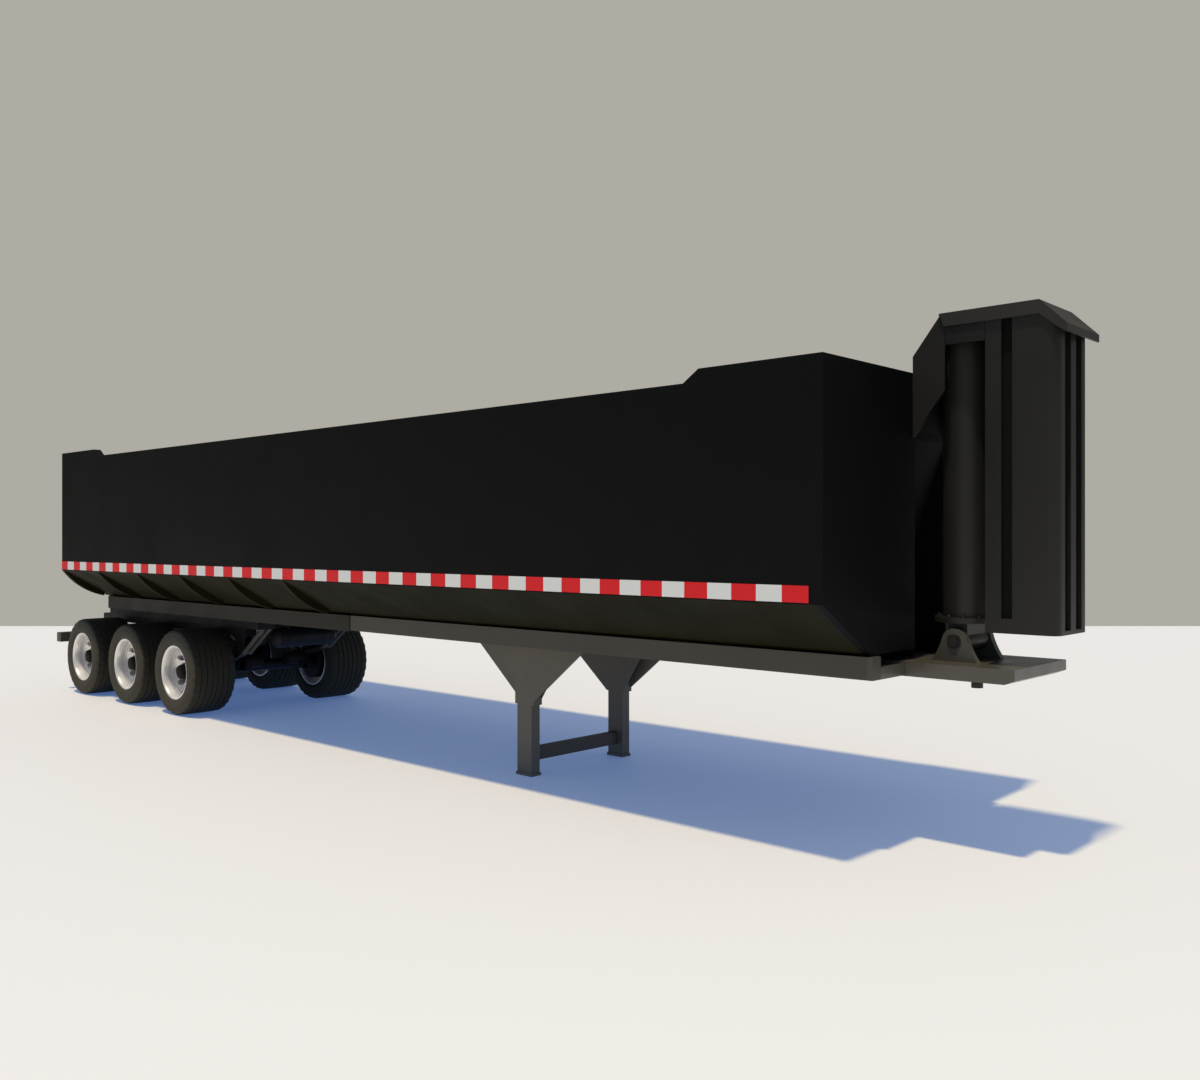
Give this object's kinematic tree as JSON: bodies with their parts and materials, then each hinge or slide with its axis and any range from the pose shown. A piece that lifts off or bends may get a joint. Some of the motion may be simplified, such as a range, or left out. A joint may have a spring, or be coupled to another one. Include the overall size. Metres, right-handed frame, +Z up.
{
  "type": "tri-axle end-dump semi-trailer",
  "caption": "End-dump semi-trailer with a long tub with sloped lower sides, front telescopic hoist, wide single tyres, top-hung tailgate and landing legs.",
  "frame": {"origin": "middle of the trailer's outline, on the ground", "axes": "+X forward towards the kingpin, +Y to the trailer's left, +Z up"},
  "size_m": [12.198, 2.594, 3.262],
  "materials": {
    "tub_paint": "satin black paint",
    "frame_paint": "satin grey-brown chassis paint",
    "hoist_paint": "satin dark grey paint",
    "hoist_chrome": "chromed steel",
    "bare_steel": "oiled steel",
    "rim": "polished",
    "tyre": "matte rubber",
    "tape_red": "retroreflective sheeting",
    "tape_white": "retroreflective sheeting",
    "lamp": "gloss red lens"
  },
  "bodies": {
    "frame": {"frame_rails": "frame_paint", "rear_boxes": "frame_paint", "suspension_beams": "frame_paint", "crossmembers": "frame_paint", "hinge_pins": "frame_paint", "springs": "bare_steel", "spring_seats": "frame_paint", "spring_hangers": "frame_paint", "spring_rockers": "frame_paint", "axle_1": "frame_paint", "axle_2": "frame_paint", "axle_3": "frame_paint", "landing_legs": "frame_paint", "leg_gussets": "frame_paint", "leg_mounts": "frame_paint", "leg_brace": "frame_paint", "coupler_plate": "frame_paint", "coupler_wings": "frame_paint", "kingpin": "bare_steel", "hoist_pedestal": "frame_paint", "rear_bumper": "frame_paint", "tail_lamps": "lamp"},
    "bed": {"tub_side_right": "tub_paint", "tub_side_left": "tub_paint", "top_rails": "tub_paint", "tailgate_pins": "tub_paint", "tub_bottom": "tub_paint", "tub_front": "tub_paint", "doghouse": "tub_paint", "slope_ribs": "tub_paint", "tape_red": "tape_red", "tape_white": "tape_white", "hinge_lugs": "tub_paint", "hoist_bracket": "hoist_paint", "hoist_cap": "hoist_paint", "hoist_guard": "hoist_paint"},
    "tailgate": {"tailgate": "tub_paint"},
    "hoist_barrel": {"hoist_barrel": "hoist_paint"},
    "hoist_stage_1": {"hoist_stage_1": "hoist_chrome"},
    "hoist_stage_2": {"hoist_stage_2": "hoist_chrome"},
    "hoist_stage_3": {"hoist_stage_3": "hoist_chrome"},
    "hoist_stage_4": {"hoist_stage_4": "hoist_chrome"},
    "hoist_rod": {"hoist_rod": "hoist_chrome"},
    "wheels_left_1": {"tyres_left_1": "tyre", "wheel_left_1": "rim"},
    "wheels_right_1": {"tyres_right_1": "tyre", "wheel_right_1": "rim"},
    "wheels_left_2": {"tyres_left_2": "tyre", "wheel_left_2": "rim"},
    "wheels_right_2": {"tyres_right_2": "tyre", "wheel_right_2": "rim"},
    "wheels_left_3": {"tyres_left_3": "tyre", "wheel_left_3": "rim"},
    "wheels_right_3": {"tyres_right_3": "tyre", "wheel_right_3": "rim"}
  },
  "joints": [
    {"name": "bed_tilt", "type": "hinge", "parent": "frame", "child": "bed", "pos_m": [-5.423, 0, 1.09], "axis": [0, -1, 0], "range_deg": [0, 40]},
    {"name": "tailgate_swing", "type": "hinge", "parent": "bed", "child": "tailgate", "pos_m": [-5.408, 0, 2.835], "axis": [0, 1, 0], "range_deg": [0, 80]},
    {"name": "hoist_lean", "type": "hinge", "parent": "frame", "child": "hoist_barrel", "pos_m": [5.389, 0, 1.255], "axis": [0, -1, 0], "range_deg": [0, 24.81]},
    {"name": "extend_stage_1", "type": "slide", "parent": "hoist_barrel", "child": "hoist_stage_1", "axis": [0, 0, 1], "range_m": [0, 1.4634]},
    {"name": "extend_stage_2", "type": "slide", "parent": "hoist_stage_1", "child": "hoist_stage_2", "axis": [0, 0, 1], "range_m": [0, 1.4634]},
    {"name": "extend_stage_3", "type": "slide", "parent": "hoist_stage_2", "child": "hoist_stage_3", "axis": [0, 0, 1], "range_m": [0, 1.4634]},
    {"name": "extend_stage_4", "type": "slide", "parent": "hoist_stage_3", "child": "hoist_stage_4", "axis": [0, 0, 1], "range_m": [0, 1.4634]},
    {"name": "extend_rod", "type": "slide", "parent": "hoist_stage_4", "child": "hoist_rod", "axis": [0, 0, 1], "range_m": [0, 1.4634]},
    {"name": "turn_left_1", "type": "hinge", "parent": "frame", "child": "wheels_left_1", "pos_m": [-5.363, 0.843, 0.458], "axis": [0, 1, 0], "continuous": true},
    {"name": "turn_right_1", "type": "hinge", "parent": "frame", "child": "wheels_right_1", "pos_m": [-5.363, -0.843, 0.458], "axis": [0, 1, 0], "continuous": true},
    {"name": "turn_left_2", "type": "hinge", "parent": "frame", "child": "wheels_left_2", "pos_m": [-4.173, 0.843, 0.458], "axis": [0, 1, 0], "continuous": true},
    {"name": "turn_right_2", "type": "hinge", "parent": "frame", "child": "wheels_right_2", "pos_m": [-4.173, -0.843, 0.458], "axis": [0, 1, 0], "continuous": true},
    {"name": "turn_left_3", "type": "hinge", "parent": "frame", "child": "wheels_left_3", "pos_m": [-2.983, 0.843, 0.458], "axis": [0, 1, 0], "continuous": true},
    {"name": "turn_right_3", "type": "hinge", "parent": "frame", "child": "wheels_right_3", "pos_m": [-2.983, -0.843, 0.458], "axis": [0, 1, 0], "continuous": true}
  ],
  "couplings": [
    {"joint": "hoist_lean", "follows": "bed_tilt", "ratio": 0.61974},
    {"joint": "extend_stage_1", "follows": "bed_tilt", "m_per_rad": 2.0946},
    {"joint": "extend_stage_2", "follows": "bed_tilt", "m_per_rad": 2.0946},
    {"joint": "extend_stage_3", "follows": "bed_tilt", "m_per_rad": 2.0946},
    {"joint": "extend_stage_4", "follows": "bed_tilt", "m_per_rad": 2.0946},
    {"joint": "extend_rod", "follows": "bed_tilt", "m_per_rad": 2.0946}
  ]
}
